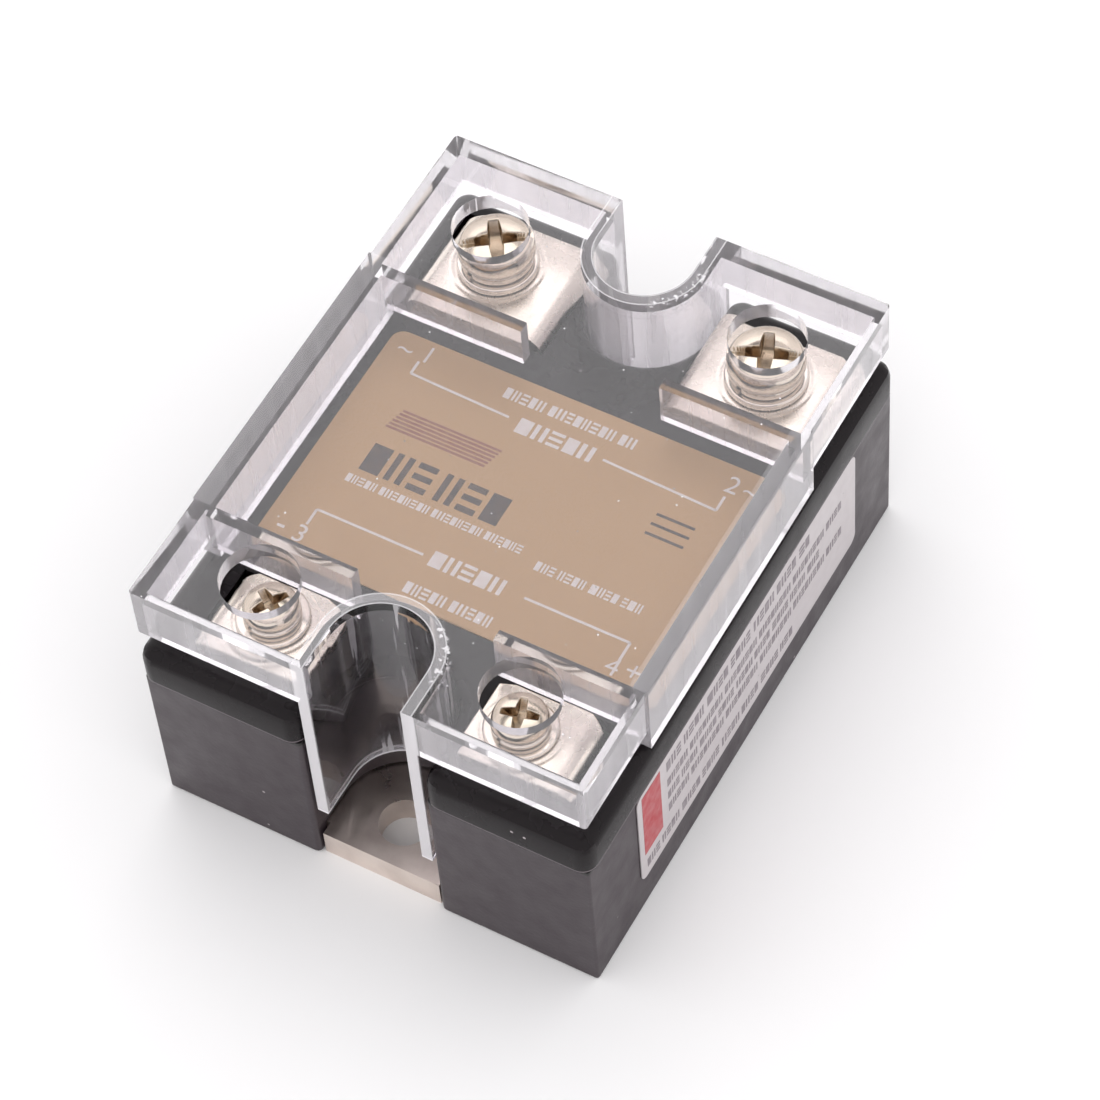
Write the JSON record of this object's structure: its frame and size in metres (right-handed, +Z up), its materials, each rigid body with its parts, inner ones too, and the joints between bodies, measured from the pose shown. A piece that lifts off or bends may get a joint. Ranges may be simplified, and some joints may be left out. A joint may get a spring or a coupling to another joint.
{
  "type": "solid state relay",
  "caption": "Panel-mount solid state relay in a notched black case on a metal base, with screw terminals, printed labels and a clear lift-off safety cover.",
  "frame": {"origin": "bottom centre of the base plate, on the face that meets the heatsink", "axes": "+X across the case towards the rating sticker, +Y from the input end to the load end, +Z up from the heatsink through the clear cover"},
  "size_m": [0.0452, 0.0582, 0.031],
  "materials": {
    "black_plastic": "fine satin moulded grain",
    "clear_plastic": "clear polished moulding",
    "nickel_plate": "nickel plated brass and steel",
    "plated_base": "bright plated, light drawing lines",
    "tan_label": "printed tan film label",
    "silver_label": "printed pale silver film label",
    "white_ceramic": "unglazed alumina",
    "copper": "bare copper",
    "silicon": "dark polished die",
    "grey_resin": "cured potting resin",
    "green_board": "solder mask on glass laminate",
    "chip_black": "moulded epoxy",
    "yellow_film": "cast resin case",
    "blue_lacquer": "lacquered ceramic"
  },
  "bodies": {
    "relay": {"base_plate": "plated_base", "ceramic_substrate": "white_ceramic", "circuit_board": "green_board", "control_ic": "chip_black", "copper_pad_1": "copper", "copper_pad_2": "copper", "face_label": "tan_label", "gate_lead_1": "copper", "gate_lead_2": "copper", "housing_shell": "black_plastic", "lid": "black_plastic", "load_strap_1": "copper", "load_strap_2": "copper", "optocoupler": "chip_black", "potting_resin": "grey_resin", "resistor_1": "blue_lacquer", "resistor_2": "blue_lacquer", "resistor_3": "blue_lacquer", "resistor_4": "blue_lacquer", "side_label": "silver_label", "snubber_capacitor": "yellow_film", "snubber_resistor": "blue_lacquer", "terminal_input_3": "nickel_plate", "terminal_input_4": "nickel_plate", "terminal_load_1": "nickel_plate", "terminal_load_2": "nickel_plate", "thyristor_1": "silicon", "thyristor_2": "silicon"},
    "cover": {"clear_cover": "clear_plastic"},
    "load_1_washers": {"flat_washer_load_1": "nickel_plate", "spring_washer_load_1": "nickel_plate"},
    "load_1_screw": {"screw_load_1": "nickel_plate"},
    "load_2_washers": {"flat_washer_load_2": "nickel_plate", "spring_washer_load_2": "nickel_plate"},
    "load_2_screw": {"screw_load_2": "nickel_plate"},
    "input_3_washers": {"flat_washer_input_3": "nickel_plate", "spring_washer_input_3": "nickel_plate"},
    "input_3_screw": {"screw_input_3": "nickel_plate"},
    "input_4_washers": {"flat_washer_input_4": "nickel_plate", "spring_washer_input_4": "nickel_plate"},
    "input_4_screw": {"screw_input_4": "nickel_plate"}
  },
  "joints": [
    {"name": "cover_lift", "type": "slide", "parent": "relay", "child": "cover", "axis": [0, 0, 1], "range_m": [0, 0.03]},
    {"name": "load_1_rise", "type": "slide", "parent": "relay", "child": "load_1_washers", "axis": [0, 0, 1], "range_m": [0, 0.00105]},
    {"name": "load_1_turn", "type": "hinge", "parent": "load_1_washers", "child": "load_1_screw", "pos_m": [-0.0144, 0.0216, 0.0241], "axis": [0, 0, 1], "range_deg": [0, 541]},
    {"name": "load_2_rise", "type": "slide", "parent": "relay", "child": "load_2_washers", "axis": [0, 0, 1], "range_m": [0, 0.00105]},
    {"name": "load_2_turn", "type": "hinge", "parent": "load_2_washers", "child": "load_2_screw", "pos_m": [0.01365, 0.021, 0.0241], "axis": [0, 0, 1], "range_deg": [0, 541]},
    {"name": "input_3_rise", "type": "slide", "parent": "relay", "child": "input_3_washers", "axis": [0, 0, 1], "range_m": [0, 0.001]},
    {"name": "input_3_turn", "type": "hinge", "parent": "input_3_washers", "child": "input_3_screw", "pos_m": [-0.0127, -0.0215, 0.0241], "axis": [0, 0, 1], "range_deg": [0, 721]},
    {"name": "input_4_rise", "type": "slide", "parent": "relay", "child": "input_4_washers", "axis": [0, 0, 1], "range_m": [0, 0.001]},
    {"name": "input_4_turn", "type": "hinge", "parent": "input_4_washers", "child": "input_4_screw", "pos_m": [0.0122, -0.0217, 0.0241], "axis": [0, 0, 1], "range_deg": [0, 721]}
  ],
  "couplings": [
    {"joint": "load_1_turn", "follows": "load_1_rise", "rad_per_m": 8976},
    {"joint": "load_2_turn", "follows": "load_2_rise", "rad_per_m": 8976},
    {"joint": "input_3_turn", "follows": "input_3_rise", "rad_per_m": 12566},
    {"joint": "input_4_turn", "follows": "input_4_rise", "rad_per_m": 12566}
  ]
}
